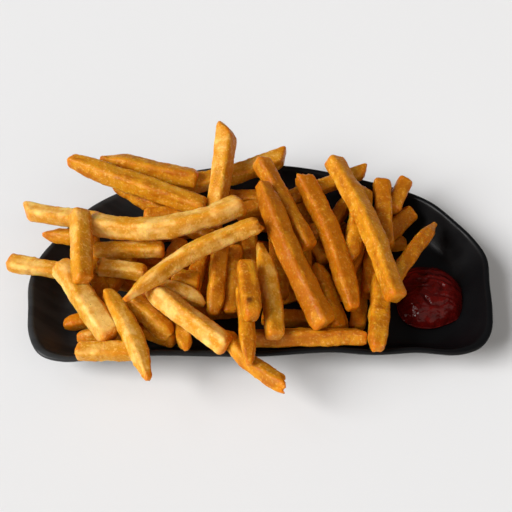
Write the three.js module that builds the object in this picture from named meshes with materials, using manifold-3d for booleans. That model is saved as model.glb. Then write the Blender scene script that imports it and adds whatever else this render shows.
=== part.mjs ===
import * as THREE from 'three';
import { mergeVertices } from 'three/addons/utils/BufferGeometryUtils.js';
import Module from 'manifold-3d';

const wasm = await Module();
wasm.setup();

// A portion of french fries heaped on a black dish, with a dollop of ketchup at the right.
// Millimetres, +Z up. The origin is on the table under the middle of the dish.
// +X runs to the right along the dish, and +Y away from the long straight front.

// Dish
const HALF_LENGTH = 128;
const HALF_WIDTH = 70;
const RIM_HEIGHT = 21;
const FLOOR_TOP = 4.2;
const DISH_SEGMENTS = 72;

// The rim seen from above: a long front with a faint wave, round front corners, slight waists
// at both sides and a wide arch behind. It is one smooth closed curve through these points.
const RIM_POINTS = [
  [0, -69], [36, -67], [60, -69], [82, -68], [103, -69.8], [115, -65.5], [122, -56], [125, -42],
  [126.5, -24], [128, -6], [123, 8], [114, 22], [103, 36], [88, 46], [68, 54], [44, 62.5],
  [18, 68.5], [-8, 70], [-39, 65.5], [-62, 58.5], [-84, 48], [-101, 35], [-113, 18], [-124, 0],
  [-128, -18], [-126, -36], [-123, -54], [-116, -66], [-104, -70.5], [-80, -68.5], [-56, -67.5],
  [-26, -68.5],
];

// The dish in section, as [distance in from the rim's outside, height]. CENTRE stands for any
// distance past HALF_WIDTH, where all turns meet in one point.
const CENTRE = 100;
const DISH_INSIDE = [
  [CENTRE, FLOOR_TOP], [19, FLOOR_TOP], [16.5, 4.9], [13, 7.6], [8.5, 13.2], [5.2, 18.2],
  [3.9, 20.1], [2.8, RIM_HEIGHT], [1.2, RIM_HEIGHT],
];
const DISH_OUTSIDE = [
  [0.1, 19.9], [0.6, 18.4], [3.4, 15], [9, 7.4], [12.5, 2.6], [15, 0.4], [16, 0], [CENTRE, 0],
];

// Space kept between neighbours
const GAP = 0.3;

// Ketchup
const DOLLOP_CENTRE = [95, -22];
const DOLLOP_RADII = [19.3, 22];
const DOLLOP_HEIGHT = 11.5;
const DOLLOP_SEGMENTS = 40;
const DOLLOP_FOLD_DEPTH = 0.8;
const DOLLOP_FOLD_PITCH = 7;
// The share of the height at its edge, how flat its top and how steep its sides are, and its rings
const DOLLOP_LIP = 0.12;
const DOLLOP_FLATNESS = 2.4;
const DOLLOP_STEEPNESS = 0.62;
const DOLLOP_RINGS = [0.98, 1, 0.96, 0.87, 0.74, 0.58, 0.4, 0.2, 0];
// Uneven outline, as [waves in a turn, share of the radius, phase]
const DOLLOP_LOBES = [[2, 0.035, 0.6], [3, 0.03, 2.1]];
// How far the folds slope against the dish's length
const DOLLOP_FOLD_SLOPE = 0.18;

// Low core under the heap
const CORE_CENTRE = [-14, -3];
const CORE_RADII = [78, 41];
const CORE_HEIGHT = 13;
const CORE_SEGMENTS = 28;
const CORE_LOBES = [[4, 0.04, 0]];

// One fry: a squared stick with eight sides, bent a little and tapered at its ends
const SIDES = 8;
const FLAT_SHARE = 0.62;
// A fry that bows less than this has no ring of points at its middle.
const SLIGHT_BOW = 1;
const END_SHAPES = {
  blunt: { size: 0.84, run: 0.05, slant: 0.1 },
  slant: { size: 0.86, run: 0.05, slant: 0.75 },
  back: { size: 0.86, run: 0.05, slant: -0.75 },
  narrow: { size: 0.6, run: 0.13, slant: 0.1 },
  point: { size: 0.3, run: 0.24, slant: 0 },
};

// The fries that show, one row each: start, end, thickness, sideways bow (to the right of the
// way from start to end), roll in degrees, and the two ends' shapes.
const BACK_LEFT = [
  [[-110, 54, 43], [-30, 21, 36], 11, 0.9, 10, 'narrow', 'blunt'],
  [[-93, 58, 39], [-35.5, 44, 35], 10.5, 0, 20, 'point', 'blunt'],
  [[-53, 45.5, 27.5], [16.5, 64.5, 33], 10.5, 4, 0, 'blunt', 'back'],
  [[-85, 48, 31], [-52, 28, 22], 10, 0, 25, 'narrow', 'blunt'],
  [[-66, 21, 29], [-38, 24, 29], 8.5, 0, 0, 'blunt', 'blunt'],
  [[-65, 44, 21], [-26, 34, 18], 9.5, 0, 30, 'blunt', 'blunt'],
  [[-26, 18.5, 31], [-17.5, 68.5, 53.5], 11, 0.8, 20, 'blunt', 'back'],
];
const LEFT = [
  [[-136, 29.5, 26], [-90, 15, 31], 10, 0, 10, 'back', 'blunt'],
  [[-123, 10.5, 27], [-90, 3, 30], 8, 0, 30, 'point', 'blunt'],
  [[-139.5, -9, 26.5], [-98, -17, 27], 9, 1, 0, 'blunt', 'blunt'],
  [[-100, 13, 43], [-93.5, -34, 39], 11, 0, 30, 'blunt', 'blunt'],
  [[-107, -17, 35], [-77.5, -62, 27], 12.5, 0.3, 15, 'blunt', 'blunt'],
  [[-95, 11, 35], [-9, 13.5, 47], 11.5, 10, 20, 'blunt', 'blunt'],
  [[-93, -2, 27], [-53, -2, 27], 9, 0, 0, 'blunt', 'blunt'],
  [[-89, -15, 28], [-62.5, -18.5, 26], 9, -1, 10, 'blunt', 'blunt'],
  [[-71.2, -45.5, 38.5], [0, -2, 47], 9, -5, 30, 'point', 'blunt'],
  [[-82, -34, 31], [-55.8, -92, 36], 9.5, -2, 20, 'narrow', 'point'],
  [[-108, -39.5, 9], [-75, -35, 10], 8.5, 0, 0, 'narrow', 'blunt'],
  [[-98, -52, 15], [-65, -50, 15], 8.5, 0, 40, 'narrow', 'blunt'],
  [[-95, -68, 26.2], [-61, -69, 26.2], 9.5, 0, 0, 'blunt', 'blunt'],
];
const MIDDLE = [
  [[-7, -24, 41], [-4, -61, 42], 10.5, 0, 10, 'blunt', 'narrow'],
  [[-9, -34, 31], [-6, -84.5, 36], 9, -0.5, 0, 'blunt', 'point'],
  [[-0.2, -4, 34], [7.5, -65, 31], 9.5, -1.5, 20, 'point', 'blunt'],
  [[-22, -3, 31], [-25.5, -43, 20], 9.5, 0, 20, 'blunt', 'narrow'],
  [[-13, 0, 27], [-16, -40, 17], 8.5, 0, 0, 'blunt', 'blunt'],
  [[-59, -33, 32.6], [-17.5, -69, 28.5], 11, 0, 35, 'narrow', 'blunt'],
  [[-54, -28, 28], [-30, -38, 23], 8.5, -1.5, 0, 'blunt', 'point'],
  [[-48, -21, 27], [-33, -24, 26], 9, 0, 0, 'blunt', 'blunt'],
  [[-71, -36, 28.5], [-47, -58, 24], 10, 0, 30, 'blunt', 'narrow'],
  [[-63, -47.5, 15], [-45, -58.5, 20], 8.5, 0, 20, 'blunt', 'blunt'],
  [[-44.5, -37, 15], [-38.5, -69, 27], 8.5, 0, 0, 'blunt', 'point'],
  [[-18, -58, 24.5], [11, -92.5, 31], 8, 3.5, 30, 'blunt', 'slant'],
  [[-6, -59.5, 22.6], [53, -59.5, 22.6], 8.5, 0, 36, 'blunt', 'slant'],
  [[1, -38, 11], [41, -40, 11], 9, 0, 0, 'blunt', 'blunt'],
];
const RIGHT = [
  [[1.5, 51, 43], [27.5, -8, 33], 10, 0, 25, 'blunt', 'blunt'],
  [[1.4, 29, 47], [33.5, -57.3, 30], 11.5, 1.5, 30, 'narrow', 'blunt'],
  [[26, 42, 38], [49, -45.5, 27], 10.5, -3, 15, 'blunt', 'narrow'],
  [[44, 54, 40], [71, -46, 37], 10.5, -2.8, 30, 'blunt', 'blunt'],
  [[66, -20, 22], [60, -71, 28], 10.5, 0, 10, 'blunt', 'narrow'],
  [[102, 18.5, 22], [70, -31, 30], 9, 1, 20, 'point', 'blunt'],
  [[72, 43.5, 32], [70.5, -4, 28], 9.5, 0, 0, 'blunt', 'blunt'],
  [[87, 48, 27], [76, 26, 25], 10.5, 0, 20, 'blunt', 'blunt'],
  [[89.5, 31, 18], [65, 3, 20], 11, 0, 30, 'blunt', 'blunt'],
  [[64, 54, 30], [13, 32, 28], 8.5, 0, 10, 'slant', 'blunt'],
  [[57.5, 47, 21], [39.5, 15, 20], 8.5, 0, 0, 'blunt', 'blunt'],
  [[61.5, 36, 32], [49.5, -13, 28], 10.5, 0, 20, 'blunt', 'narrow'],
  [[32.2, -12.5, 23.4], [40.6, -53, 20.6], 9, 0, 35, 'narrow', 'blunt'],
  [[58, 1, 12], [53, -46, 10], 8.5, 0, 0, 'blunt', 'blunt'],
];

// Fries deeper in the heap, which show through its gaps and carry the upper ones
const LOWER = [
  [[-92, -8, 9], [-34, -22, 9], 9, 0, 0, 'blunt', 'blunt'],
  [[-88, 8, 9], [-30, 2, 9], 9, 0, 0, 'blunt', 'blunt'],
  [[-78, 22, 9], [-22, 30, 9], 9, 0, 0, 'blunt', 'blunt'],
  [[-77, -39, 9], [-10, -30, 9], 9, 0, 0, 'blunt', 'blunt'],
  [[-12, 34, 9], [52, 26, 9], 9, 0, 0, 'blunt', 'blunt'],
  [[52, 19, 10], [86, 13, 10], 9, 0, 0, 'blunt', 'narrow'],
  [[-86, -28, 19], [-66, 18, 19], 9, 0, 0, 'blunt', 'blunt'],
  [[-62, -32, 19], [-44, 10, 19], 9, 0, 0, 'blunt', 'blunt'],
  [[-50, 26, 19], [-16, 6, 19], 9, 0, 0, 'blunt', 'blunt'],
  [[-38, -30, 19], [-32, 2, 19], 9, 0, 0, 'blunt', 'blunt'],
  [[-4, -28, 19], [-6, 22, 19], 9, 0, 0, 'blunt', 'blunt'],
  [[12, -30, 19], [8, 30, 19], 9, 0, 0, 'blunt', 'blunt'],
  [[24, -34, 19], [26, 22, 19], 9, 0, 0, 'blunt', 'blunt'],
  [[60, 14, 21], [46, -24, 21], 9, 0, 0, 'blunt', 'blunt'],
  [[8, 4, 27], [34, 10, 27], 9, 0, 0, 'blunt', 'blunt'],
  [[8, 31, 27], [-14, 24, 27], 9, 0, 0, 'blunt', 'blunt'],
  [[-18, 37, 25.5], [3, 37.5, 25.5], 9, 0, 0, 'blunt', 'blunt'],
  [[-94, -4, 21], [-84, -34, 19], 9, 0, 0, 'blunt', 'blunt'],
  [[44, 19, 15], [46, -29, 14], 9, 0, 0, 'blunt', 'blunt'],
  [[36, -16, 12], [44, -47, 11], 9, 0, 0, 'blunt', 'blunt'],
  [[64.5, 8, 18], [60, -30, 18], 9, 0, 0, 'blunt', 'blunt'],
  [[23, 32, 24], [37, -7, 20], 9, 0, 0, 'blunt', 'blunt'],
];

// Geometry helpers

// Drops everything but positions, joins equal points and leaves out faces without area.
function weld(geometry) {
  geometry.deleteAttribute('normal');
  geometry.deleteAttribute('uv');
  const merged = mergeVertices(geometry, 1e-4);
  const corners = merged.index.array;
  const kept = [];
  for (let i = 0; i < corners.length; i += 3) {
    const [a, b, c] = [corners[i], corners[i + 1], corners[i + 2]];
    if (a !== b && b !== c && c !== a) {
      kept.push(a, b, c);
    }
  }
  merged.setIndex(kept);
  return merged;
}

function toSolid(geometry) {
  const welded = weld(geometry);
  return new wasm.Manifold(new wasm.Mesh({
    numProp: 3,
    vertProperties: new Float32Array(welded.attributes.position.array),
    triVerts: new Uint32Array(welded.index.array),
  }));
}

function toGeometry(solid) {
  const mesh = solid.getMesh();
  const geometry = new THREE.BufferGeometry();
  geometry.setAttribute('position', new THREE.BufferAttribute(mesh.vertProperties, 3));
  geometry.setIndex(new THREE.BufferAttribute(mesh.triVerts, 1));
  return geometry;
}

// The largest body of a solid: hollows sealed inside it are filled and loose scraps dropped.
function mainBody(solid) {
  return solid.decompose().reduce((best, body) => (body.volume() > best.volume() ? body : best));
}

// A lathed solid whose points are then put elsewhere: place(turn, row) gives each one's position,
// for the turn from 0 to 1 round the axis and the row of the profile.
function turned(rows, segments, place) {
  const profile = rows.map((row, j) => new THREE.Vector2(Math.sin(Math.PI * j / (rows.length - 1)), j));
  const geometry = new THREE.LatheGeometry(profile, segments);
  const position = geometry.attributes.position;
  for (let i = 0; i < position.count; i += 1) {
    const turn = (Math.floor(i / rows.length) % segments) / segments;
    const point = place(turn, rows[i % rows.length]);
    position.setXYZ(i, point.x, point.y, point.z);
  }
  return toSolid(geometry);
}

// The share of its radius that a lobed outline has at an angle
function lobeShare(angle, lobes) {
  return lobes.reduce((sum, [waves, share, phase]) => sum + share * Math.sin(waves * angle + phase), 1);
}

// Dish

const rim = new THREE.CatmullRomCurve3(
  RIM_POINTS.map(([x, y]) => new THREE.Vector3(x, y, 0)), true, 'centripetal');

// A point of the dish, moved in from the rim
function dishPoint(turn, [inset, height]) {
  const edge = rim.getPointAt(turn);
  if (inset > HALF_WIDTH) {
    return new THREE.Vector3(0, 0, height);
  }
  return new THREE.Vector3(edge.x * (1 - inset / HALF_LENGTH), edge.y * (1 - inset / HALF_WIDTH), height);
}

function dishSolid() {
  return turned([...DISH_OUTSIDE].reverse().concat([...DISH_INSIDE].reverse()), DISH_SEGMENTS, dishPoint);
}

// The dish grown by the gap, which food is cut clear of
function dishClearance() {
  const grow = (rows, step) => rows.map(([inset, height]) => [inset + step, height + step]);
  const raised = grow(DISH_INSIDE, GAP);
  const lowered = grow(DISH_OUTSIDE, -GAP);
  return turned([...lowered].reverse().concat([...raised].reverse()), DISH_SEGMENTS, dishPoint);
}

// Ketchup

// Rows of the dollop, as [share of its radius, height above the floor's gap, share of the folds]
function dollopRows() {
  const dome = DOLLOP_RINGS.map((share, i) => {
    const drop = Math.min(1, Math.pow(share, DOLLOP_FLATNESS));
    const lift = i === 0 ? DOLLOP_LIP : Math.pow(1 - drop, DOLLOP_STEEPNESS);
    return [share, Math.max(lift, DOLLOP_LIP * (i + 1)) * DOLLOP_HEIGHT, 1 - share * share];
  });
  return [[0, 0, 0], [0.95, 0, 0], ...dome];
}

function dollopPoint(turn, [share, height, folds]) {
  const angle = turn * Math.PI * 2;
  const lobe = lobeShare(angle, DOLLOP_LOBES);
  const x = DOLLOP_CENTRE[0] + Math.cos(angle) * DOLLOP_RADII[0] * share * lobe;
  const y = DOLLOP_CENTRE[1] + Math.sin(angle) * DOLLOP_RADII[1] * share * lobe;
  const wave = Math.sin((y + DOLLOP_FOLD_SLOPE * x) * Math.PI * 2 / DOLLOP_FOLD_PITCH);
  const z = FLOOR_TOP + GAP + height + DOLLOP_FOLD_DEPTH * folds * wave;
  return new THREE.Vector3(x, y, z);
}

function dollopSolid() {
  return mainBody(turned(dollopRows(), DOLLOP_SEGMENTS, dollopPoint).subtract(dishClearance()));
}

// Fries

// A corner of the squared section, from its angle
function sectionPoint(angle) {
  const x = Math.cos(angle);
  const y = Math.sin(angle);
  const [wide, tall] = Math.abs(x) > Math.abs(y) ? [0.5, 0.5 * FLAT_SHARE] : [0.5 * FLAT_SHARE, 0.5];
  return new THREE.Vector2(Math.sign(x) * wide, Math.sign(y) * tall);
}

function fry([start, end, thickness, bow, roll, startShape, endShape]) {
  const from = new THREE.Vector3(...start);
  const to = new THREE.Vector3(...end);
  const along = to.clone().sub(from);
  const right = new THREE.Vector3(along.y, -along.x, 0).normalize();
  const middle = from.clone().add(to).multiplyScalar(0.5).addScaledVector(right, 2 * bow);
  const path = new THREE.QuadraticBezierCurve3(from, middle, to);
  const ends = [END_SHAPES[startShape], END_SHAPES[endShape]];
  const stops = [0, ends[0].run, 1 - ends[1].run, 1];
  if (Math.abs(bow) > SLIGHT_BOW) {
    stops.splice(2, 0, 0.5);
  }
  const sizes = stops.map((stop) => (stop === 0 ? ends[0].size : stop === 1 ? ends[1].size : 1));
  const slants = stops.map((stop) => (stop === 0 ? -ends[0].slant : stop === 1 ? ends[1].slant : 0));
  const geometry = new THREE.CylinderGeometry(1, 1, 1, SIDES, stops.length - 1);
  const position = geometry.attributes.position;
  const twist = THREE.MathUtils.degToRad(roll);
  for (let i = 0; i < position.count; i += 1) {
    const row = Math.round((position.getY(i) + 0.5) * (stops.length - 1));
    const centre = path.getPoint(stops[row]);
    const tangent = path.getTangent(stops[row]);
    const side = new THREE.Vector3(tangent.y, -tangent.x, 0).normalize();
    const up = side.clone().cross(tangent);
    const isHub = Math.hypot(position.getX(i), position.getZ(i)) < 0.5;
    const angle = Math.atan2(position.getZ(i), position.getX(i)) + Math.PI / SIDES;
    const point = isHub ? new THREE.Vector2() : sectionPoint(angle);
    const shift = point.x * slants[row] * thickness;
    point.rotateAround(new THREE.Vector2(), twist).multiplyScalar(thickness * sizes[row]);
    centre.addScaledVector(side, point.x).addScaledVector(up, point.y).addScaledVector(tangent, shift);
    position.setXYZ(i, centre.x, centre.y, centre.z);
  }
  return toSolid(geometry);
}

// The core's rows, as [share of its radius, height]
const CORE_ROWS = [
  [0, 0], [0.97, 0], [1, 2], [0.93, 0.6 * CORE_HEIGHT], [0.8, CORE_HEIGHT], [0, CORE_HEIGHT],
];

function corePoint(turn, [share, height]) {
  const angle = turn * Math.PI * 2;
  const lobe = lobeShare(angle, CORE_LOBES);
  return new THREE.Vector3(
    CORE_CENTRE[0] + Math.cos(angle) * CORE_RADII[0] * share * lobe,
    CORE_CENTRE[1] + Math.sin(angle) * CORE_RADII[1] * share * lobe,
    FLOOR_TOP + GAP + height);
}

function heapSolid() {
  const rows = [...LOWER, ...BACK_LEFT, ...LEFT, ...MIDDLE, ...RIGHT];
  const core = turned(CORE_ROWS, CORE_SEGMENTS, corePoint);
  const heap = rows.reduce((whole, row) => whole.add(fry(row)), core);
  return mainBody(heap.subtract(dishClearance()));
}

// Assembly

const FINISHES = {
  dish: new THREE.MeshStandardMaterial({ color: 0x17181a, roughness: 0.38, metalness: 0 }),
  fries: new THREE.MeshStandardMaterial({ color: 0xdc9a3c, roughness: 0.68, metalness: 0 }),
  ketchup: new THREE.MeshStandardMaterial({ color: 0x6e0f0b, roughness: 0.22, metalness: 0 }),
};

function named(name, solid, material) {
  const mesh = new THREE.Mesh(toGeometry(solid), material);
  mesh.name = name;
  return mesh;
}

const portion = new THREE.Group();
portion.add(named('plate', dishSolid(), FINISHES.dish));
portion.add(named('fries', heapSolid(), FINISHES.fries));
portion.add(named('ketchup', dollopSolid(), FINISHES.ketchup));

export default portion;
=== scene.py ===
"""A portion of french fries heaped on a black dish, with a dollop of ketchup at the right.

Sizes are in millimetres while a piece is being made and in metres once it is in the scene.
+X runs to the right along the dish, +Y away from its long straight front, and +Z up.
"""

import logging
import math
import random
from dataclasses import dataclass, field
from enum import Enum

import bmesh
import bpy
from mathutils import Matrix, Vector, noise


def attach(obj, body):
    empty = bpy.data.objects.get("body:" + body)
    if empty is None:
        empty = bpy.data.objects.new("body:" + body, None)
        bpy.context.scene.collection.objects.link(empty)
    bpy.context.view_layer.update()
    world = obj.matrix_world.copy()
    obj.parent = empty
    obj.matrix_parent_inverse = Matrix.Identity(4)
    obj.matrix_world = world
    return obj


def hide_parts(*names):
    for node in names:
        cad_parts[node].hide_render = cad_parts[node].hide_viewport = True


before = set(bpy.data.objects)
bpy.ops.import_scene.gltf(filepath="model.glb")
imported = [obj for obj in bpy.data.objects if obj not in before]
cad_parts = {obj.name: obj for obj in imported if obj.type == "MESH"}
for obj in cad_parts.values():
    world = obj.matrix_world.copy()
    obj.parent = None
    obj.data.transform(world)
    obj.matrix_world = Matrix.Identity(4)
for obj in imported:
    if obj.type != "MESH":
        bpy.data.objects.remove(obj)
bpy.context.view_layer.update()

log = logging.getLogger("fries")
MM = 0.001
Pair = tuple[float, float]
Vec3 = tuple[float, float, float]
Rgb = tuple[float, float, float]
Span = tuple[float, ...]
Number = float | bpy.types.NodeSocket
Colour = Rgb | bpy.types.NodeSocket


# Helpers


def smooth(value: float) -> float:
    """Eases a value between 0 and 1.

    Args:
        value: any number; it is held between 0 and 1.

    Returns:
        The eased number, flat at both ends.
    """
    held = min(1.0, max(0.0, value))
    return held * held * (3 - 2 * held)


def mix(start: float, end: float, share: float) -> float:
    """Mixes two numbers.

    Args:
        start: the number at share 0.
        end: the number at share 1.
        share: how far from start to end.

    Returns:
        The mixed number.
    """
    return start + (end - start) * share


def outwards(shape: bmesh.types.BMesh) -> None:
    """Turns all normals outwards; they are worked out afresh before and after.

    Args:
        shape: the shape.
    """
    shape.normal_update()
    bmesh.ops.recalc_face_normals(shape, faces=shape.faces[:])
    shape.normal_update()


def finished(
    name: str, shape: bmesh.types.BMesh, material: bpy.types.Material, nodes: list[str]
) -> bpy.types.Object:
    """Turns a shape in millimetres into a smooth object of the portion, in metres, at the origin.

    Args:
        name: the object's name.
        shape: the shape, which is freed.
        material: its finish.
        nodes: the solids that it stands for.

    Returns:
        The new object.
    """
    bmesh.ops.scale(shape, vec=(MM, MM, MM), verts=shape.verts)
    outwards(shape)
    mesh = bpy.data.meshes.new(name)
    shape.to_mesh(mesh)
    shape.free()
    mesh.shade_smooth()
    mesh.materials.append(material)
    made = bpy.data.objects.new(name, mesh)
    bpy.context.scene.collection.objects.link(made)
    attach(made, "root")
    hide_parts(*nodes)
    return made


# Finishes


class Sum(Enum):
    """How two numbers are worked into one."""

    PLUS = "ADD"
    MINUS = "SUBTRACT"
    TIMES = "MULTIPLY"
    LARGER = "MAXIMUM"


@dataclass(frozen=True)
class Spots:
    """Noise: its spots a metre or a unit of another place, its octaves and how strong they are.

    The span has the noise's low and high, and what they become where that isn't 0 and 1.
    """

    scale: float
    detail: float = 2.0
    rough: float = 0.5
    span: Span = ()


class Graph:
    """A material whose shader nodes are added and linked by short calls."""

    def __init__(self, name: str) -> None:
        """Starts a material with a Principled shader.

        Args:
            name: the material's name.
        """
        self.material = bpy.data.materials.new(name)
        self.material.use_nodes = True
        self.tree = self.material.node_tree
        self.shader = self.tree.nodes["Principled BSDF"]
        self.place = self.add("ShaderNodeTexCoord").outputs["Object"]

    def set(self, node: bpy.types.Node, values: dict) -> None:
        """Sets or links a node's inputs.

        Args:
            node: the node.
            values: by input name or number, a constant or the output to link.
        """
        for key, value in values.items():
            if isinstance(value, bpy.types.NodeSocket):
                self.tree.links.new(value, node.inputs[key])
            else:
                node.inputs[key].default_value = value

    def add(self, kind: str, values: dict | None = None, **settings: object) -> bpy.types.Node:
        """Adds a node.

        Args:
            kind: the node's type.
            values: its inputs, as in set.
            **settings: its own properties.

        Returns:
            The node.
        """
        node = self.tree.nodes.new(kind)
        for key, value in settings.items():
            setattr(node, key, value)
        self.set(node, values or {})
        return node

    def number(self, name: str) -> bpy.types.NodeSocket:
        """Reads a number that the mesh holds at each point.

        Args:
            name: the attribute's name.

        Returns:
            The socket with the number.
        """
        return self.add("ShaderNodeAttribute", attribute_name=name).outputs["Fac"]

    def spots(
        self, spots: Spots, place: bpy.types.NodeSocket | None = None
    ) -> bpy.types.NodeSocket:
        """Noise over the object.

        Args:
            spots: its sizes and span.
            place: where the noise is read instead of the object's coordinates.

        Returns:
            The socket with the noise, around 0.5 where it has no span.
        """
        values = {
            "Vector": place or self.place, "Scale": spots.scale, "Detail": spots.detail,
            "Roughness": spots.rough,
        }
        found = self.add("ShaderNodeTexNoise", values).outputs["Fac"]
        return self.ramp(found, *spots.span) if spots.span else found

    def cells(self, scale: float) -> bpy.types.NodeSocket:
        """Distance to the nearest of many scattered points.

        Args:
            scale: points a metre.

        Returns:
            The socket with the distance, 0 at a point.
        """
        values = {"Vector": self.place, "Scale": scale}
        return self.add("ShaderNodeTexVoronoi", values).outputs["Distance"]

    def ramp(self, value: bpy.types.NodeSocket, low: float, high: float,
             start: float = 0.0, end: float = 1.0) -> bpy.types.NodeSocket:
        """Maps a number from one span to another, held at its ends.

        Args:
            value: the number.
            low: where the result is start.
            high: where the result is end.
            start: the result at low.
            end: the result at high.

        Returns:
            The socket with the result.
        """
        values = {0: value, 1: low, 2: high, 3: start, 4: end}
        return self.add("ShaderNodeMapRange", values, interpolation_type="SMOOTHSTEP").outputs[0]

    def math(self, how: Sum, first: Number, second: Number) -> bpy.types.NodeSocket:
        """Works out a number from two.

        Args:
            how: how they are worked into one.
            first: a number or socket.
            second: a number or socket.

        Returns:
            The socket with the result.
        """
        return self.add("ShaderNodeMath", {0: first, 1: second}, operation=how.value).outputs[0]

    def times(self, first: Number, second: Number) -> bpy.types.NodeSocket:
        """Multiplies two numbers or sockets and returns the socket with the result."""
        return self.math(Sum.TIMES, first, second)

    def blend(self, share: Number, first: Colour, second: Colour) -> bpy.types.NodeSocket:
        """Mixes two colours.

        Args:
            share: a number or socket.
            first: the colour at share 0, as red, green, blue or a socket.
            second: the colour at share 1.

        Returns:
            The socket with the mixed colour.
        """
        whole = [c if isinstance(c, bpy.types.NodeSocket) else (*c, 1.0) for c in (first, second)]
        values = {0: share, 6: whole[0], 7: whole[1]}
        return self.add("ShaderNodeMix", values, data_type="RGBA").outputs[2]

    def bump(self, height: bpy.types.NodeSocket, depth: float) -> bpy.types.NodeSocket:
        """Turns a height into a bumpy normal.

        Args:
            height: the height, from 0 to 1.
            depth: how many metres a height of 1 stands for.

        Returns:
            The socket with the normal.
        """
        values = {"Height": height, "Distance": depth, "Strength": 1.0}
        return self.add("ShaderNodeBump", values).outputs["Normal"]


@dataclass(frozen=True)
class FriedPotato:
    """Fried potato: cream, gold or amber on its faces, orange-brown at edges and ends and in
    painted shade.
    """

    cream: Rgb = (0.90, 0.60, 0.180)
    gold: Rgb = (0.63, 0.268, 0.009)
    amber: Rgb = (0.40, 0.115, 0.0012)
    orange: Rgb = (0.60, 0.175, 0.0008)
    burnt: Rgb = (0.14, 0.030, 0.003)
    fleck: Rgb = (0.95, 0.62, 0.17)
    # How pale a place is: the fry's tone, partly painted shade, and the two noises count for so
    # much, less an offset
    tone_share: float = 0.95
    streaks: Spots = Spots(1.8, span=(0.30, 0.70))
    streak_share: float = 0.30
    patches: Spots = Spots(170, 3, span=(0.34, 0.66))
    patch_share: float = 0.25
    offset: float = 0.32
    # The paleness at which amber turns to gold, gold to cream, and the flecks come out
    gold_span: Span = (0.05, 0.52)
    cream_span: Span = (0.46, 1.02)
    fleck_span: Span = (0.0, 0.7, 0.35, 1.0)
    flecks: Spots = Spots(700, span=(0.54, 0.70, 0.0, 0.45))
    # Browned edges and painted shade, the mottled crust, scorched spots on the brownest places, and
    # dark specks
    edges: Spots = Spots(150, span=(0.25, 0.75, 0.6, 1.0))
    toasted_and_shaded_span: Span = (0.05, 0.8, 0.0, 0.95)
    crust: Spots = Spots(420, 3, 0.55, (0.38, 0.66))
    crust_share: float = 0.16
    scorched_span: Span = (0.75, 1.1)
    scorched: Spots = Spots(420, 3, span=(0.42, 0.6))
    specks: Spots = Spots(900, span=(0.745, 0.785, 0.0, 0.7))
    # The fine relief: shares of its three heights, and its depth in metres
    blister_scale: float = 620.0
    blister_span: Span = (0.0, 0.55, 1.0, 0.0)
    blister_height: float = 0.6
    grain: Spots = Spots(1500, 3, 0.6)
    grain_height: float = 0.5
    fibres: Spots = Spots(9.0, 3, 0.6)
    fibre_height: float = 0.16
    relief: float = 0.00025
    roughness: Span = (0.0, 1.0, 0.32, 0.55)
    specular: float = 0.16
    scatter: float = 0.60
    scatter_radius: Rgb = (1.0, 0.40, 0.08)
    scatter_depth: float = 0.0040

    def colour(self, g: Graph, lengthwise: bpy.types.NodeSocket,
               crust: bpy.types.NodeSocket) -> bpy.types.NodeSocket:
        """Mixes the colour.

        Args:
            g: the material's nodes.
            lengthwise: the coordinates that run along each fry.
            crust: the crust's noise.

        Returns:
            The socket with the colour.
        """
        streaks = g.times(g.spots(self.streaks, lengthwise), self.streak_share)
        uneven = g.math(Sum.PLUS, streaks, g.times(g.spots(self.patches), self.patch_share))
        pale = g.math(
            Sum.PLUS, g.times(g.number("tone"), self.tone_share),
            g.math(Sum.MINUS, uneven, self.offset),
        )
        warm = g.blend(g.ramp(pale, *self.gold_span), self.amber, self.gold)
        face = g.blend(g.ramp(pale, *self.cream_span), warm, self.cream)
        # The browning layer holds real browning at edges and tips, and painted shade on turned
        # sides and low in the heap
        edge = g.times(g.number("brown_and_shade"), g.spots(self.edges))
        toasted_and_shaded = g.blend(g.ramp(edge, *self.toasted_and_shaded_span), face, self.orange)
        mottled = g.blend(g.times(crust, self.crust_share), toasted_and_shaded, self.orange)
        flecks = g.times(g.spots(self.flecks), g.ramp(pale, *self.fleck_span))
        lit = g.blend(flecks, mottled, self.fleck)
        scorched = g.times(g.ramp(edge, *self.scorched_span), g.spots(self.scorched))
        marks = g.math(Sum.LARGER, scorched, g.spots(self.specks))
        return g.blend(g.math(Sum.LARGER, marks, g.number("burn")), lit, self.burnt)

    def build(self) -> bpy.types.Material:
        """Makes the material.

        Returns:
            The material.
        """
        g = Graph("fried_potato")
        lengthwise = g.add("ShaderNodeAttribute", attribute_name="grain").outputs["Vector"]
        crust = g.spots(self.crust)
        blisters = g.ramp(g.cells(self.blister_scale), *self.blister_span)
        height = g.math(
            Sum.PLUS, g.times(blisters, self.blister_height),
            g.times(g.spots(self.grain), self.grain_height),
        )
        fibres = g.times(g.spots(self.fibres, lengthwise), self.fibre_height)
        g.set(g.shader, {
            "Base Color": self.colour(g, lengthwise, crust),
            "Roughness": g.ramp(crust, *self.roughness),
            "Specular IOR Level": self.specular,
            "Subsurface Weight": self.scatter,
            "Subsurface Radius": self.scatter_radius,
            "Subsurface Scale": self.scatter_depth,
            "Normal": g.bump(g.math(Sum.PLUS, height, fibres), self.relief),
        })
        return g.material


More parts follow.
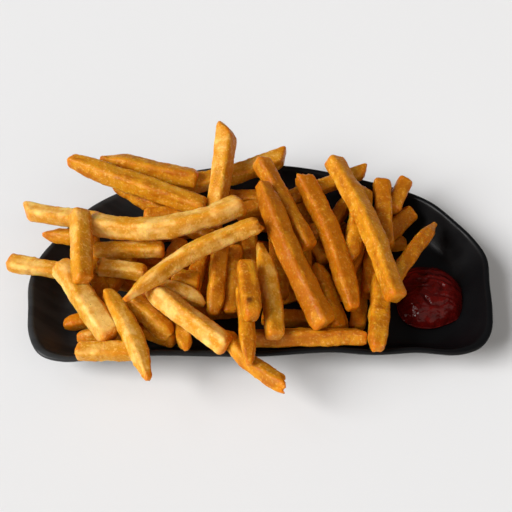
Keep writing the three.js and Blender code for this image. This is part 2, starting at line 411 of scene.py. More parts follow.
@dataclass(frozen=True)
class Ketchup:
    """Dark red ketchup, wet and glossy, with a painted highlight on its folds and painted shade in
    their creases.
    """

    # The deep red, kept in the creases as painted shade, and the painted highlight on the crests
    deep: Rgb = (0.062, 0.0020, 0.0016)
    crest_highlight: Rgb = (0.120, 0.0042, 0.0028)
    crest_span: Span = (0.1, 1.0)
    patches: Spots = Spots(160, 3, span=(0.3, 0.7, 0.35, 1.0))
    lumps: Spots = Spots(190, 1, 0.3)
    grain: Spots = Spots(700, 1)
    grain_height: float = 0.12
    relief: float = 0.0020
    roughness: float = 0.11
    specular: float = 0.15
    scatter: float = 0.12
    scatter_radius: Rgb = (1.0, 0.1, 0.06)
    scatter_depth: float = 0.0015

    def build(self) -> bpy.types.Material:
        """Makes the material.

        Returns:
            The material.
        """
        g = Graph("ketchup")
        # Painted shade and highlight: creases keep the deep red, crests turn brighter, unevenly by
        # the patches
        share = g.times(g.ramp(g.number("fold"), *self.crest_span), g.spots(self.patches))
        grain = g.times(g.spots(self.grain), self.grain_height)
        g.set(g.shader, {
            "Base Color": g.blend(share, self.deep, self.crest_highlight),
            "Roughness": self.roughness,
            "Specular IOR Level": self.specular,
            "Subsurface Weight": self.scatter,
            "Subsurface Radius": self.scatter_radius,
            "Subsurface Scale": self.scatter_depth,
            "Normal": g.bump(g.math(Sum.PLUS, grain, g.spots(self.lumps)), self.relief),
        })
        return g.material


@dataclass(frozen=True)
class Melamine:
    """Satin black melamine, with a painted sheen that makes it a little paler and streaked at its
    left.
    """

    colour: Rgb = (0.0036, 0.0037, 0.0043)
    # The painted sheen's colour, and the span of X, in metres, over which it comes in
    painted_sheen: Rgb = (0.036, 0.037, 0.039)
    painted_sheen_span: Span = (0.02, -0.10)
    # The streaks' noise is read in coordinates drawn out by so much in X, Y and Z
    drawn: Vec3 = (16.0, 130.0, 30.0)
    streaks: Spots = Spots(1.0, 3, 0.6, (0.3, 0.7, 0.55, 1.25))
    roughness: Spots = Spots(70, 3, span=(0.35, 0.65, 0.30, 0.42))
    swells: Spots = Spots(45, 1)
    grain: Spots = Spots(1300, 2)
    grain_height: float = 0.03
    relief: float = 0.0012
    specular: float = 0.14

    def build(self) -> bpy.types.Material:
        """Makes the material.

        Returns:
            The material.
        """
        g = Graph("dish")
        grain = g.times(g.spots(self.grain), self.grain_height)
        across = g.add("ShaderNodeSeparateXYZ", {0: g.place}).outputs["X"]
        drawn = g.add(
            "ShaderNodeVectorMath", {0: g.place, 1: self.drawn}, operation="MULTIPLY"
        ).outputs[0]
        # Painted sheen: the colour turns paler and streaked towards the dish's left
        painted_sheen_share = g.times(g.ramp(across, *self.painted_sheen_span), g.spots(self.streaks, drawn))
        g.set(g.shader, {
            "Base Color": g.blend(painted_sheen_share, self.colour, self.painted_sheen),
            "Roughness": g.spots(self.roughness),
            "Specular IOR Level": self.specular,
            "Normal": g.bump(g.math(Sum.PLUS, g.spots(self.swells), grain), self.relief),
        })
        return g.material


# Dish


@dataclass
class Dish:
    """A shallow dish with one long straight side, a rounded lip and a flat foot."""

    half_length: float = 128.0
    half_width: float = 70.0
    steps: int = 216
    samples: int = 24
    rim: tuple[Pair, ...] = (
        (0, -69), (36, -67), (60, -69), (82, -68), (103, -69.8), (115, -65.5), (122, -56),
        (125, -42), (126.5, -24), (128, -6), (123, 8), (114, 22), (103, 36), (88, 46), (68, 54),
        (44, 62.5), (18, 68.5), (-8, 70), (-39, 65.5), (-62, 58.5), (-84, 48), (-101, 35),
        (-113, 18), (-124, 0), (-128, -18), (-126, -36), (-123, -54), (-116, -66), (-104, -70.5),
        (-80, -68.5), (-56, -67.5), (-26, -68.5),
    )
    # From the foot, round the lip, to the floor inside: how far in from the rim, and how high
    section: tuple[Pair, ...] = (
        (40, 0), (24, 0), (16, 0), (15.3, 0.15), (14.6, 0.6), (12.5, 2.6), (9, 7.2), (6, 11.4),
        (3.4, 14.9), (1.6, 17.1), (0.6, 18.5), (0.12, 19.5), (0.1, 20.1), (0.4, 20.65),
        (1.0, 20.95), (1.8, 21), (2.5, 20.9), (3.1, 20.5), (3.6, 19.9), (4.2, 18.9), (5.4, 17),
        (7.2, 14.4), (9.4, 11.5), (11.8, 8.6), (14, 6.5), (16.2, 5.1), (18.6, 4.4), (21.5, 4.2),
        (28, 4.2), (40, 4.2), (54, 4.2),
    )
    # The wall's slight waves: their height and length, the insets between which they are, how
    # far they take to fade there, and the height above which they are
    waviness: float = 0.35
    wave_length: float = 17.0
    wave_span: Pair = (4.0, 23.0)
    wave_fade: float = 4.0
    wave_above: float = 4.1

    def outline(self) -> list[Vector]:
        """Runs a smooth closed curve through the rim's points.

        Returns:
            Evenly spaced points of it.
        """
        points = [Vector(p) for p in self.rim]
        dense: list[Vector] = []
        for i in range(len(points)):
            four = [points[(i + k - 1) % len(points)] for k in range(4)]
            knots = [0.0]
            for a, b in zip(four, four[1:]):
                knots.append(knots[-1] + math.sqrt((b - a).length))
            for step in range(self.samples):
                t = mix(knots[1], knots[2], step / self.samples)
                level = four
                for order in (1, 2, 3):
                    level = [
                        a.lerp(b, self.share(t, knots, j, order))
                        for j, (a, b) in enumerate(zip(level, level[1:]))
                    ]
                dense.append(level[0])
        return self.spread(dense)

    @staticmethod
    def share(t: float, knots: list[float], j: int, order: int) -> float:
        """Where a knot value lies in one span of a round of the curve's construction.

        Args:
            t: the knot value.
            knots: the four knots.
            j: the span's number in its round.
            order: the round, from 1 to 3.

        Returns:
            The share of the way through the span.
        """
        first, last = (1, 2) if order == 3 else (j, j + order)
        return (t - knots[first]) / (knots[last] - knots[first])

    def spread(self, dense: list[Vector]) -> list[Vector]:
        """Picks evenly spaced points of a closed line.

        Args:
            dense: the line's points.

        Returns:
            As many points as the dish has steps round it.
        """
        closed = dense + dense[:1]
        lengths = [0.0]
        for a, b in zip(closed, closed[1:]):
            lengths.append(lengths[-1] + (b - a).length)
        picked, at = [], 0
        for k in range(self.steps):
            wanted = lengths[-1] * k / self.steps
            while lengths[at + 1] < wanted:
                at += 1
            part = (wanted - lengths[at]) / (lengths[at + 1] - lengths[at])
            picked.append(closed[at].lerp(closed[at + 1], part))
        return picked

    def point(self, edge: Vector, inset: float, height: float) -> Vector:
        """A point of the dish, moved in from its rim.

        Args:
            edge: the rim's point.
            inset: how far in.
            height: the point's height.

        Returns:
            The point, with the wall's slight waves.
        """
        moved = Vector((
            edge.x * (1 - inset / self.half_length), edge.y * (1 - inset / self.half_width), height
        ))
        if height > self.wave_above:
            wall = smooth((inset - self.wave_span[0]) / self.wave_fade)
            wall *= smooth((self.wave_span[1] - inset) / self.wave_fade)
            wave = noise.noise(Vector((edge.x, edge.y, inset)) / self.wave_length)
            moved.z += self.waviness * wall * wave
        return moved

    @staticmethod
    def grow(
        bm: bmesh.types.BMesh, ring: list[bmesh.types.BMVert], edges: list[bmesh.types.BMEdge]
    ) -> tuple[list[bmesh.types.BMVert], list[bmesh.types.BMEdge]]:
        """Draws the open edge out by one more ring.

        Args:
            bm: the dish so far.
            ring: the open edge's points, in order.
            edges: the open edge's edges.

        Returns:
            The new ring's points, in the same order, and its edges.
        """
        order = {vert: k for k, vert in enumerate(ring)}
        grown = bmesh.ops.extrude_edge_only(bm, edges=edges)["geom"]
        fresh = {v for v in grown if isinstance(v, bmesh.types.BMVert)}
        after: dict[int, bmesh.types.BMVert] = {}
        for vert in fresh:
            for link in vert.link_edges:
                other = link.other_vert(vert)
                if other in order:
                    after[order[other]] = vert
        drawn = [e for e in grown if isinstance(e, bmesh.types.BMEdge)]
        drawn = [e for e in drawn if fresh.issuperset(e.verts)]
        return [after[k] for k in range(len(ring))], drawn

    def build(self, material: bpy.types.Material) -> bpy.types.Object:
        """Makes the dish by drawing its outline through the section.

        Args:
            material: its finish.

        Returns:
            The dish.
        """
        outline = self.outline()
        bm = bmesh.new()
        ring = bmesh.ops.create_circle(bm, segments=self.steps, radius=1.0)["verts"]
        ring.sort(key=lambda v: math.atan2(v.co.x, -v.co.y) % math.tau)
        edges = list(bm.edges)
        for vert, edge in zip(ring, outline):
            vert.co = self.point(edge, *self.section[0])
        foot = bmesh.ops.edgeloop_fill(bm, edges=edges)["faces"]
        for row in self.section[1:]:
            ring, edges = self.grow(bm, ring, edges)
            for vert, edge in zip(ring, outline):
                vert.co = self.point(edge, *row)
        floor = bmesh.ops.edgeloop_fill(bm, edges=edges)["faces"]
        bmesh.ops.poke(bm, faces=foot + floor)
        return finished("dish", bm, material, ["plate"])


# Ketchup


@dataclass(frozen=True)
class Swell:
    """Slow noise over a surface: its size, its lengths in X and Y, and its seed."""

    size: float
    x: float
    y: float
    seed: float

    def at(self, x: float, y: float) -> float:
        """Reads the noise at a place, given by its X and Y, and returns it."""
        return self.size * noise.noise(Vector((x / self.x, y / self.y, self.seed)))


@dataclass
class Dollop:
    """A low dollop of ketchup with folds that run mostly along the dish."""

    centre: Pair = (95.0, -22.0)
    radii: Pair = (19.2, 21.9)
    height: float = 11.6
    floor: float = 4.5
    segments: tuple[int, int] = (160, 88)
    # The outline's unevenness: bulges as their number, size and turn, a square share, a ripple
    bulges: tuple[Vec3, ...] = ((2, 0.035, 0.6), (3, 0.03, 2.1))
    squareness: float = 0.022
    ripple: float = 0.012
    # The upper side: the two powers of its curve, its least height, and how its folds fade out
    curve: Pair = (2.4, 0.62)
    skirt: float = 0.10
    calm: float = 3.0
    # The folds: their pitch, depth and slant, and what bends, roughens and weakens them
    pitch: float = 7.0
    depth: float = 0.8
    slant: float = 0.18
    bends: tuple[Swell, ...] = (Swell(8.8, 13, 10, 4.2), Swell(4.4, 6, 4, 9.1))
    fine: Swell = Swell(0.5, 4.5, 1.7, 1.3)
    strength: Swell = Swell(0.9, 8, 8, 6.6)
    weakest: float = 0.15
    lump: float = 0.5
    lump_length: float = 9.0

    def outline(self, angle: float) -> float:
        """The uneven outline's share of its radius.

        Args:
            angle: the direction, in radians.

        Returns:
            The share.
        """
        wide = 1.0
        for number, size, turn in self.bulges:
            wide += size * math.sin(number * angle + turn)
        return wide - self.squareness * math.cos(4 * angle) + self.ripple * math.sin(7 * angle)

    def fold(self, x: float, y: float) -> float:
        """How high the folds stand at a place.

        Args:
            x: the place's X.
            y: the place's Y.

        Returns:
            The height, from 0 in a crease to 1 on a crest.
        """
        bend = sum(swell.at(x, y) for swell in self.bends)
        phase = (y + self.slant * x + bend) / self.pitch
        crest = abs(math.sin(math.pi * phase))
        share = min(1.0, max(self.weakest, 0.5 + self.strength.at(x, y)))
        return mix(0.5 + self.fine.at(x, y), crest, share)

    def top(self, x: float, y: float, out: float, crest: float) -> float:
        """How high the upper side is at a place.

        Args:
            x: the place's X.
            y: the place's Y.
            out: how far out it is, from 0 at the centre to 1 at the outline.
            crest: how high the folds stand there.

        Returns:
            The height.
        """
        lift = max(self.skirt, (1 - out ** self.curve[0]) ** self.curve[1])
        share = 1 - out ** self.calm
        folded = self.floor + self.height * lift + share * self.depth * (2 * crest - 1)
        return folded + share * self.lump * noise.noise(Vector((x, y, 2.0)) / self.lump_length)

    def build(self, material: bpy.types.Material) -> bpy.types.Object:
        """Makes the dollop from a flattened ball.

        Args:
            material: its finish.

        Returns:
            The dollop.
        """
        bm = bmesh.new()
        layer = bm.verts.layers.float.new("fold")
        around, upward = self.segments
        bmesh.ops.create_uvsphere(bm, u_segments=around, v_segments=upward, radius=1.0)
        for vert in bm.verts:
            angle = math.atan2(vert.co.y, vert.co.x)
            out = min(1.0, math.hypot(vert.co.x, vert.co.y))
            wide = out * self.outline(angle)
            x = self.centre[0] + math.cos(angle) * self.radii[0] * wide
            y = self.centre[1] + math.sin(angle) * self.radii[1] * wide
            upper = vert.co.z > 0
            crest = self.fold(x, y) if upper else 0.0
            vert.co = (x, y, self.top(x, y, out, crest) if upper else self.floor)
            vert[layer] = crest
        return finished("ketchup_dollop", bm, material, ["ketchup"])


# Fries


class End(Enum):
    """An end's shape: width left at the tip, length of the taper and slant of the cut."""

    BLUNT = (0.95, 0.05, 0.1)
    SLANT = (0.93, 0.06, 0.75)
    BACK = (0.93, 0.06, -0.75)
    NARROW = (0.66, 0.16, 0.1)
    POINT = (0.36, 0.26, 0.0)

    def __init__(self, width: float, taper: float, slant: float) -> None:
        """Names the three numbers of the end's shape."""
        self.width, self.taper, self.slant = width, taper, slant

    def narrowed(self, t: float) -> float:
        """The share of the width that is left at a share t of the length from this end."""
        return mix(self.width, 1, smooth(t / self.taper * 0.8 + 0.1))


class Torn(Enum):
    """Which end of a fry is torn instead of cut; the value is that end's direction."""

    NEITHER = 0
    FIRST = -1
    LAST = 1


@dataclass
class Fry:
    """One fry: where it starts and ends, and how it is cut."""

    start: Vec3
    end: Vec3
    thick: float = 9.0
    bow: float = 0.0
    roll: float = 0.0
    first: End = End.BLUNT
    last: End = End.BLUNT
    # The tone, amber to cream, is partly painted shade: low for the fries at the right and, by
    # default, for the lower ones
    tone: float = 0.2
    torn: Torn = Torn.NEITHER

    def middle(self) -> Vector:
        """The middle point that bends the fry's line.

        Returns:
            The point.
        """
        start, end = Vector(self.start), Vector(self.end)
        right = Vector((end.y - start.y, start.x - end.x, 0)).normalized()
        return (start + end) / 2 + right * 2 * self.bow

    def at(self, t: float) -> tuple[Vector, Vector]:
        """A place on the fry's line.

        Args:
            t: the share of the way from start to end.

        Returns:
            The point and the direction there.
        """
        a, b, c = Vector(self.start), self.middle(), Vector(self.end)
        point = a * (1 - t) ** 2 + b * 2 * t * (1 - t) + c * t * t
        return point, ((b - a) * (1 - t) + (c - b) * t).normalized()


# Short names of the ends, for the tables of fries
B, S, K, N, P = End.BLUNT, End.SLANT, End.BACK, End.NARROW, End.POINT
BACK_LEFT = (
    Fry((-110, 54, 43), (-30, 21, 36), 11, 0.9, 10, N, B, 0.42),
    Fry((-93, 58, 39), (-35.5, 44, 35), 10.5, 0, 20, P, B, 0.36),
    Fry((-53, 45.5, 27.5), (16.5, 64.5, 33), 10.5, 4, 0, B, K, 0.50),
    Fry((-85, 48, 31), (-52, 28, 22), 10, 0, 25, N, B, 0.36),
    Fry((-66, 21, 29), (-38, 24, 29), 8.5, 0, 0, B, B, 0.28),
    Fry((-65, 44, 21), (-26, 34, 18), 9.5, 0, 30, B, B, 0.26),
    Fry((-26, 18.5, 31), (-17.5, 68.5, 53.5), 11, 0.8, 20, B, K, 0.70),
)
LEFT = (
    Fry((-136, 29.5, 26), (-90, 15, 31), 10, 0, 10, K, B, 0.80),
    Fry((-123, 10.5, 27), (-90, 3, 30), 8, 0, 30, P, B, 0.34),
    Fry((-139.5, -9, 26.5), (-98, -17, 27), 9, 1, 0, B, B, 0.72),
    Fry((-100, 13, 43), (-93.5, -34, 39), 11, 0, 30, B, B, 0.62),
    Fry((-107, -17, 35), (-77.5, -62, 27), 12.5, 0.3, 15, B, B, 0.80, Torn.FIRST),
    Fry((-95, 11, 35), (-9, 13.5, 47), 11.5, 10, 20, B, B, 0.76),
    Fry((-93, -2, 27), (-53, -2, 27), 9, 0, 0, B, B, 0.60),
    Fry((-89, -15, 28), (-62.5, -18.5, 26), 9, -1, 10, B, B, 0.70, Torn.FIRST),
    Fry((-71.2, -45.5, 38.5), (0, -2, 47), 9, -5, 30, P, B, 0.72, Torn.LAST),
    Fry((-82, -34, 31), (-55.8, -92, 36), 9.5, -2, 20, N, P, 0.64),
    Fry((-108, -39.5, 9), (-75, -35, 10), 8.5, 0, 0, N, B, 0.44),
    Fry((-98, -52, 15), (-65, -50, 15), 8.5, 0, 40, N, B, 0.54),
    Fry((-95, -68, 26.2), (-61, -69, 26.2), 9.5, 0, 0, B, B, 0.70),
)
MIDDLE = (
    Fry((-7, -24, 41), (-4, -61, 42), 10.5, 0, 10, B, N, 0.28),
    Fry((-9, -34, 31), (-6, -84.5, 36), 9, -0.5, 0, B, P, 0.34),
    Fry((-0.2, -4, 34), (7.5, -65, 31), 9.5, -1.5, 20, P, B, 0.62),
    Fry((-22, -3, 31), (-25.5, -43, 20), 9.5, 0, 20, B, N, 0.34),
    Fry((-13, 0, 27), (-16, -40, 17), 8.5, 0, 0, B, B, 0.30),
    Fry((-59, -33, 32.6), (-17.5, -69, 28.5), 11, 0, 35, N, B, 0.72),
    Fry((-54, -28, 28), (-30, -38, 23), 8.5, -1.5, 0, B, P, 0.70),
    Fry((-48, -21, 27), (-33, -24, 26), 9, 0, 0, B, B, 0.34),
    Fry((-71, -36, 28.5), (-47, -58, 24), 10, 0, 30, B, N, 0.46),
    Fry((-63, -47.5, 15), (-45, -58.5, 20), 8.5, 0, 20, B, B, 0.32),
    Fry((-44.5, -37, 15), (-38.5, -69, 27), 8.5, 0, 0, B, P, 0.38),
    Fry((-18, -58, 24.5), (11, -92.5, 31), 8, 3.5, 30, B, S, 0.42, Torn.LAST),
    Fry((-6, -59.5, 22.6), (53, -59.5, 22.6), 8.5, 0, 36, B, S, 0.20),
    Fry((1, -38, 11), (41, -40, 11), 9, 0, 0, B, B, 0.26),
)
# Their low tones are partly painted shade, darker towards the right of the heap
RIGHT = (
    Fry((1.5, 51, 43), (27.5, -8, 33), 10, 0, 25, B, B, 0.26),
    Fry((1.4, 29, 47), (33.5, -57.3, 30), 11.5, 1.5, 30, N, B, 0.14),
    Fry((26, 42, 38), (49, -45.5, 27), 10.5, -3, 15, B, N, 0.12, Torn.FIRST),
    Fry((44, 54, 40), (71, -46, 37), 10.5, -2.8, 30, B, B, 0.40),
    Fry((66, -20, 22), (60, -71, 28), 10.5, 0, 10, B, N, 0.36),
    Fry((102, 18.5, 22), (70, -31, 30), 9, 1, 20, P, B, 0.26),
    Fry((72, 43.5, 32), (70.5, -4, 28), 9.5, 0, 0, B, B, 0.26),
    Fry((87, 48, 27), (76, 26, 25), 10.5, 0, 20, B, B, 0.24),
    Fry((89.5, 31, 18), (65, 3, 20), 11, 0, 30, B, B, 0.24),
    Fry((64, 54, 30), (13, 32, 28), 8.5, 0, 10, S, B, 0.34),
    Fry((57.5, 47, 21), (39.5, 15, 20), 8.5, 0, 0, B, B, 0.24),
    Fry((61.5, 36, 32), (49.5, -13, 28), 10.5, 0, 20, B, N, 0.36),
    Fry((32.2, -12.5, 23.4), (40.6, -53, 20.6), 9, 0, 35, N, B, 0.36),
    Fry((58, 1, 12), (53, -46, 10), 8.5, 0, 0, B, B, 0.20),
)
# They keep the default tone, low as painted shade
LOWER = (
    Fry((-92, -8, 9), (-34, -22, 9)),
    Fry((-88, 8, 9), (-30, 2, 9)),
    Fry((-78, 22, 9), (-22, 30, 9)),
    Fry((-77, -39, 9), (-10, -30, 9)),
    Fry((-12, 34, 9), (52, 26, 9)),
    Fry((52, 19, 10), (86, 13, 10), last=N),
    Fry((-86, -28, 19), (-66, 18, 19)),
    Fry((-62, -32, 19), (-44, 10, 19)),
    Fry((-50, 26, 19), (-16, 6, 19)),
    Fry((-38, -30, 19), (-32, 2, 19)),
    Fry((-4, -28, 19), (-6, 22, 19)),
    Fry((12, -30, 19), (8, 30, 19)),
    Fry((24, -34, 19), (26, 22, 19)),
    Fry((60, 14, 21), (46, -24, 21)),
    Fry((8, 4, 27), (34, 10, 27)),
    Fry((8, 31, 27), (-14, 24, 27)),
    Fry((-18, 37, 25.5), (3, 37.5, 25.5)),
    Fry((-94, -4, 21), (-84, -34, 19)),
    Fry((44, 19, 15), (46, -29, 14)),
    Fry((36, -16, 12), (44, -47, 11)),
    Fry((64.5, 8, 18), (60, -30, 18)),
    Fry((23, 32, 24), (37, -7, 20)),
)


@dataclass
class Stick:
    """The plain stick that each fry is shaped from: ten thicknesses long, with round edges."""

    length: float = 10.0
    edge: float = 0.25
    edge_steps: int = 4
    face_cuts: int = 2
    rings: int = 66
    snap: float = 1e-5
    end_share: float = 0.4

    def build(self) -> bpy.types.Mesh:
        """Makes the stick.

        Returns:
            Its mesh, with X along it from 0 to its length.
        """
        bm = bmesh.new()
        bmesh.ops.create_cube(bm, size=1.0)
        bmesh.ops.scale(bm, vec=(self.length, 1, 1), verts=bm.verts)
        bmesh.ops.translate(bm, vec=(self.length / 2, 0, 0), verts=bm.verts)
        bmesh.ops.bevel(
            bm, geom=bm.edges[:], offset=self.edge, segments=self.edge_steps, profile=0.5,
            affect="EDGES", material=-1,
        )
        flat = 1 - 2 * self.edge
        for k in range(self.face_cuts):
            place = flat * ((k + 1) / (self.face_cuts + 1) - 0.5)
            self.cut(bm, (0, place, 0), (0, 1, 0))
            self.cut(bm, (0, 0, place), (0, 0, 1))
        for k in range(1, self.rings):
            self.cut(bm, (mix(self.edge, self.length - self.edge, k / self.rings), 0, 0), (1, 0, 0))
        mesh = bpy.data.meshes.new("stick")
        bm.to_mesh(mesh)
        bm.free()
        return mesh

    def cut(self, bm: bmesh.types.BMesh, place: Vec3, normal: Vec3) -> None:
        """Adds a ring of points where a plane crosses the stick.

        Args:
            bm: the stick.
            place: a point of the plane.
            normal: the plane's direction.
        """
        whole = bm.verts[:] + bm.edges[:] + bm.faces[:]
        bmesh.ops.bisect_plane(bm, geom=whole, dist=self.snap, plane_co=place, plane_no=normal)

    def along(self, x: float, span: float) -> float:
        """Where a point of the stick comes to lie along a fry; both ends keep their shape.

        Args:
            x: the point's place along the stick.
            span: the fry's length, in thicknesses.

        Returns:
            The place along the fry, in thicknesses.
        """
        zone = min(1.0, self.end_share * span)
        if x < 1:
            return zone * x
        if self.length - x < 1:
            return span - zone * (self.length - x)
        return zone + (x - 1) / (self.length - 2) * (span - 2 * zone)


@dataclass(frozen=True)
class Variety:
    """How far a fry strays from the plain stick, in thicknesses where nothing else is said."""

    slim: float = 0.97
    # Drawn by chance for each fry: its twist in degrees, how flat it is, how its tone differs
    twist: float = 7.0
    flat: float = 0.05
    tone: float = 0.05
    # Noise along it: how much it swells, and sways sideways and up, how fast each changes, and
    # how far apart the noises of the two sways are read
    swelling: float = 0.09
    swelling_pace: float = 0.7
    sway: Pair = (0.08, 0.05)
    sway_pace: float = 0.35
    sway_apart: float = 7.0
    # How far from a tip its slant reaches; how deep a torn end is, how fast that changes, how
    # much more of it goes in than out, and how far it reaches, in millimetres
    slant_reach: float = 1.2
    torn_depth: float = 0.32
    torn_pace: float = 4.0
    torn_in: float = 0.1
    torn_reach: float = 4.5
    # How fast the coordinates of the fibres run along it
    grain_pace: float = 0.30


@dataclass(frozen=True)
class BrowningAndShade:
    """Where the crust is browner: along edges and at tips, and, as painted shade, on one side and
    deep in the heap.
    """

    edge: float = 0.24
    edge_from: float = 0.25
    edge_fade: float = 0.17
    tip: Pair = (0.40, 0.45)
    tip_from: float = 0.5
    tip_fade: float = 5.5
    rub: Pair = (0.5, 0.9)
    rub_length: float = 15.0
    # Painted shade: faces turned this way, away from the key lamp, and places low in the heap are
    # browner
    side: Vec3 = (0.93, 0.32, -0.05)
    side_share: float = 0.78
    side_from: float = 0.2
    side_fade: float = 0.45
    deep: float = 0.85
    deep_from: float = 25.0
    deep_fade: float = 12.0
    most: float = 0.95

    def alone(self, y: float, z: float, near: float, patch: float) -> float:
        """How brown a fry's edges and tips make a place.

        Args:
            y: the place across the plain stick, in thicknesses.
            z: the place up the plain stick, in thicknesses.
            near: how far the nearer tip is, in millimetres.
            patch: noise that makes it uneven.

        Returns:
            The browning, from 0 to 1.
        """
        corner = smooth((min(abs(y), abs(z)) - self.edge_from) / self.edge_fade)
        tip = smooth(1 - (near - self.tip_from) / self.tip_fade)
        rub = self.rub[0] + self.rub[1] * patch
        return min(1.0, max(self.edge * corner * rub, tip * (self.tip[0] + self.tip[1] * rub)))

    def heaped(self, place: Vector, normal: Vector, alone: float) -> float:
        """How brown a place is in the heap, with painted shade on one side and low down.

        Args:
            place: the place.
            normal: the surface's direction there.
            alone: how brown the fry's edges and tips make it.

        Returns:
            The browning, from 0 to 1.
        """
        away = normal.dot(Vector(self.side))
        sunk = self.deep * smooth((self.deep_from - place.z) / self.deep_fade)
        turned = self.side_share * smooth((away - self.side_from) / self.side_fade)
        return min(self.most, max(sunk, alone + turned))


@dataclass(frozen=True)
class Relief:
    """The crust's relief: noise as sizes with lengths, and scattered blisters."""

    waves: tuple[Pair, ...] = ((0.52, 8.5), (0.28, 3.6), (0.16, 1.5))
    blister: float = 0.30
    blister_apart: float = 3.4
    blister_width: float = 0.36
    sunk: float = 0.05

    def lift(self, place: Vector) -> float:
        """How far the crust stands out at a place.

        Args:
            place: the place.

        Returns:
            The distance, below 0 in a dent.
        """
        lift = sum(size * noise.noise(place / length) for size, length in self.waves)
        near = noise.voronoi(place / self.blister_apart)[0][0]
        return lift + self.blister * smooth(1 - near / self.blister_width) - self.sunk


@dataclass
class Heap:
    """The heap of fries, with the crust's relief, the browning of each fry and painted shade."""

    groups: dict[str, tuple[Fry, ...]] = field(default_factory=lambda: {
        "fries_back_left": BACK_LEFT, "fries_left": LEFT, "fries_middle": MIDDLE,
        "fries_right": RIGHT, "fries_lower": LOWER,
    })
    variety: Variety = Variety()
    browning_and_shade: BrowningAndShade = BrowningAndShade()
    relief: Relief = Relief()
    # The seed, and how far from the origin each fry's noise may be read
    seed: int = 11
    noise_reach: float = 90.0
    burn_at: Vec3 = (-5.6, -52.5, 46.5)
    burn_size: Vec3 = (1.0, 1.7, 4.0)
    burn_fade: Pair = (2.4, 1.5)
    core_centre: Vec3 = (-14.0, -3.0, 4.5)
    core_radii: Vec3 = (58.0, 25.0, 8.5)
    core_segments: tuple[int, int] = (96, 32)

    def shape(self, bm: bmesh.types.BMesh, plain: Stick, stick: bpy.types.Mesh, fry: Fry,
              chance: random.Random) -> None:
        """Adds one fry to a group.

        Args:
            bm: the group.
            plain: the plain stick's sizes.
            stick: the plain stick.
            fry: the fry.
            chance: where its small differences come from.
        """
        before = len(bm.verts)
        bm.from_mesh(stick)
        bm.verts.ensure_lookup_table()
        brown_and_shade, tones = (bm.verts.layers.float[name] for name in ("brown_and_shade", "tone"))
        grain = bm.verts.layers.float_vector["grain"]
        vary = self.variety
        span = (Vector(fry.end) - Vector(fry.start)).length / fry.thick
        reach = self.noise_reach
        seed = Vector([chance.uniform(-reach, reach) for _ in range(3)])
        twist = chance.uniform(-vary.twist, vary.twist)
        flat = chance.uniform(-vary.flat, vary.flat)
        tone = fry.tone + chance.uniform(-vary.tone, vary.tone)
        slanted = vary.slant_reach * fry.thick
        for vert in bm.verts[before:]:
            x, y, z = vert.co
            along = plain.along(x, span)
            t = along / span
            near_start, near_end = along * fry.thick, (span - along) * fry.thick
            swell = noise.noise(seed + Vector((along * vary.swelling_pace, 0, 0)))
            wide = fry.first.narrowed(t) * fry.last.narrowed(1 - t)
            wide *= vary.slim * (1 + vary.swelling * swell)
            slide = y * fry.last.slant * smooth(1 - near_end / slanted)
            slide -= y * fry.first.slant * smooth(1 - near_start / slanted)
            turn = math.radians(fry.roll + twist * (t - 0.5) * 2)
            cos, sin = math.cos(turn), math.sin(turn)
            u, v = y * (1 + flat) * wide, z * (1 - flat) * wide
            u, v = u * cos - v * sin, u * sin + v * cos
            point, tangent = fry.at(t)
            side = Vector((tangent.y, -tangent.x, 0)).normalized()
            up = side.cross(tangent)
            pace, apart = along * vary.sway_pace, vary.sway_apart
            u += vary.sway[0] * noise.noise(seed + Vector((pace, apart, 0)))
            v += vary.sway[1] * noise.noise(seed + Vector((pace, 0, apart)))
            if fry.torn is not Torn.NEITHER:
                near = near_end if fry.torn is Torn.LAST else near_start
                rag = noise.noise(seed + Vector((y * vary.torn_pace, z * vary.torn_pace, 3)))
                rag = smooth(1 - near / vary.torn_reach) * (rag - vary.torn_in)
                slide += fry.torn.value * vary.torn_depth * rag
            vert.co = point + (side * u + up * v + tangent * slide) * fry.thick
            vert[grain] = seed + Vector((along * vary.grain_pace, y, z))
            patch = noise.noise(seed + vert.co / self.browning_and_shade.rub_length)
            vert[brown_and_shade] = self.browning_and_shade.alone(y, z, min(near_start, near_end), patch)
            vert[tones] = tone

    def roughen(self, bm: bmesh.types.BMesh) -> None:
        """Raises the crust, then browns it and paints shade on it by its place and direction.

        Args:
            bm: the group.
        """
        outwards(bm)
        brown_and_shade = bm.verts.layers.float["brown_and_shade"]
        for vert in bm.verts:
            vert.co += vert.normal * self.relief.lift(vert.co)
            # Painted shade: faces turned from the key lamp and places low in the heap are browned
            # more
            vert[brown_and_shade] = self.browning_and_shade.heaped(vert.co, vert.normal, vert[brown_and_shade])

    def mark(self, bm: bmesh.types.BMesh) -> None:
        """Sets the one dark spot on the fry in the middle.

        Args:
            bm: the group.
        """
        burn = bm.verts.layers.float["burn"]
        for vert in bm.verts:
            off = [abs(a - b) / s for a, b, s in zip(vert.co, self.burn_at, self.burn_size)]
            vert[burn] = smooth(self.burn_fade[0] - self.burn_fade[1] * math.hypot(*off))

    def core(self, bm: bmesh.types.BMesh) -> None:
        """Adds the low mound that closes the view between the lower fries, browned all over as
        painted shade.

        Args:
            bm: the group.
        """
        brown_and_shade = bm.verts.layers.float["brown_and_shade"]
        around, upward = self.core_segments
        made = bmesh.ops.create_uvsphere(bm, u_segments=around, v_segments=upward, radius=1.0)
        for vert in made["verts"]:
            vert.co.z = max(0.0, vert.co.z)
            # Painted shade: the mound is browned through, the way fries deep in shade look
            vert[brown_and_shade] = 1.0
        bmesh.ops.scale(bm, vec=self.core_radii, verts=made["verts"])
        bmesh.ops.translate(bm, vec=self.core_centre, verts=made["verts"])

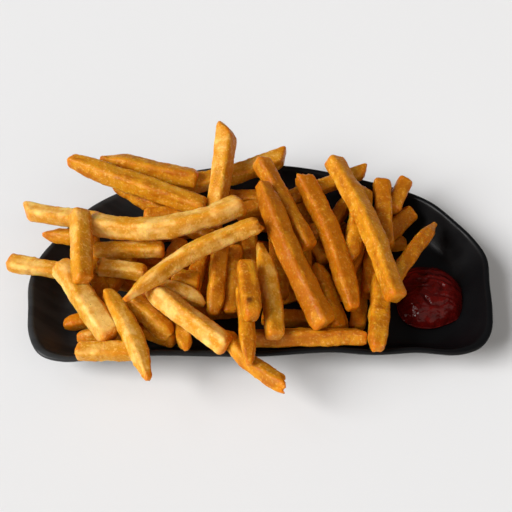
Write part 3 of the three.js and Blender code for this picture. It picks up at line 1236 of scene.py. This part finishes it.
    def build(self, material: bpy.types.Material) -> list[bpy.types.Object]:
        """Makes the heap, one object for each group.

        Args:
            material: the fries' finish.

        Returns:
            The objects.
        """
        plain = Stick()
        stick = plain.build()
        chance = random.Random(self.seed)
        made = []
        for name, rows in self.groups.items():
            bm = bmesh.new()
            for layer in ("tone", "brown_and_shade", "burn"):
                bm.verts.layers.float.new(layer)
            bm.verts.layers.float_vector.new("grain")
            for fry in rows:
                self.shape(bm, plain, stick, fry, chance)
            if rows is LOWER:
                self.core(bm)
            self.roughen(bm)
            if rows is MIDDLE:
                self.mark(bm)
            made.append(finished(name, bm, material, ["fries"]))
        bpy.data.meshes.remove(stick)
        return made


# Stage


class Kind(Enum):
    """A kind of lamp: a sun far away, or a soft square panel."""

    SUN = "SUN"
    PANEL = "AREA"


@dataclass(frozen=True)
class Lamp:
    """A lamp that faces the dish from its place, in millimetres.

    A sun's width is in degrees and its power in watts a square metre, a panel's are in
    millimetres and watts.
    """

    name: str
    kind: Kind
    place: Vec3
    width: float
    power: float
    colour: Rgb

    def build(self) -> None:
        """Puts the lamp into the scene."""
        data = bpy.data.lights.new(self.name, self.kind.value)
        if self.kind is Kind.SUN:
            data.angle = math.radians(self.width)
        else:
            data.size = self.width * MM
        data.energy = self.power
        data.color = self.colour
        made = bpy.data.objects.new(self.name, data)
        made.location = Vector(self.place) * MM
        made.rotation_euler = (-Vector(self.place)).to_track_quat("-Z", "Y").to_euler()
        bpy.context.scene.collection.objects.link(made)


@dataclass
class Stage:
    """A plain pale floor, soft light from the left and from the front, and the camera."""

    elevation: float = 51.0
    distance: float = 520.0
    roll: float = -0.8
    aim: Vec3 = (-2.0, -2.0, 20.0)
    lens: float = 64.69
    sensor: float = 36.0
    floor_size: float = 3.0
    floor_colour: Rgb = (0.765, 0.775, 0.80)
    floor_roughness: float = 0.9
    lamps: tuple[Lamp, ...] = (
        Lamp("key", Kind.SUN, (-740, -280, 610), 36, 4.0, (1.0, 0.985, 0.96)),
        Lamp("front", Kind.SUN, (420, -760, 560), 70, 0.90, (1.0, 0.93, 0.84)),
        Lamp("back", Kind.PANEL, (-560, 160, 820), 240, 0.34, (0.80, 0.90, 1.0)),
    )
    sky: float = 0.15
    sky_colour: Rgb = (1.0, 0.975, 0.94)

    def floor(self) -> None:
        """Makes the floor."""
        bm = bmesh.new()
        bmesh.ops.create_grid(bm, x_segments=1, y_segments=1, size=self.floor_size)
        mesh = bpy.data.meshes.new("floor")
        bm.to_mesh(mesh)
        bm.free()
        g = Graph("floor")
        g.set(g.shader, {
            "Base Color": (*self.floor_colour, 1.0), "Roughness": self.floor_roughness,
            "Specular IOR Level": 0.0,
        })
        mesh.materials.append(g.material)
        floor = bpy.data.objects.new("floor", mesh)
        bpy.context.scene.collection.objects.link(floor)

    def camera(self) -> None:
        """Makes the camera, which looks down on the dish from its straight side."""
        tilt, turn = math.radians(self.elevation), math.radians(self.roll)
        back = Vector((0, -math.cos(tilt), math.sin(tilt)))
        across = Vector((1, 0, 0))
        above = back.cross(across)
        right = across * math.cos(turn) + above * math.sin(turn)
        up = above * math.cos(turn) - across * math.sin(turn)
        data = bpy.data.cameras.new("camera")
        data.sensor_width = self.sensor
        data.lens = self.lens
        camera = bpy.data.objects.new("camera", data)
        place = Matrix.Translation((Vector(self.aim) + back * self.distance) * MM)
        camera.matrix_world = place @ Matrix((right, up, back)).transposed().to_4x4()
        bpy.context.scene.collection.objects.link(camera)
        bpy.context.scene.camera = camera

    def light(self) -> None:
        """Lights the stage with its lamps and a plain sky."""
        for lamp in self.lamps:
            lamp.build()
        world = bpy.data.worlds.new("world")
        world.use_nodes = True
        sky = world.node_tree.nodes["Background"]
        sky.inputs["Color"].default_value = (*self.sky_colour, 1.0)
        sky.inputs["Strength"].default_value = self.sky
        bpy.context.scene.world = world
        bpy.context.scene.view_settings.view_transform = "Standard"

    def build(self) -> None:
        """Makes the stage."""
        self.floor()
        self.light()
        self.camera()


def main() -> None:
    """Builds the portion, its finishes and the stage, in that order."""
    logging.basicConfig(level=logging.INFO, format="%(name)s: %(message)s")
    pieces = [Dish().build(Melamine().build()), Dollop().build(Ketchup().build())]
    pieces += Heap().build(FriedPotato().build())
    for piece in pieces:
        log.info("%s: %d faces", piece.name, len(piece.data.polygons))
    Stage().build()


if __name__ == "__main__":
    main()
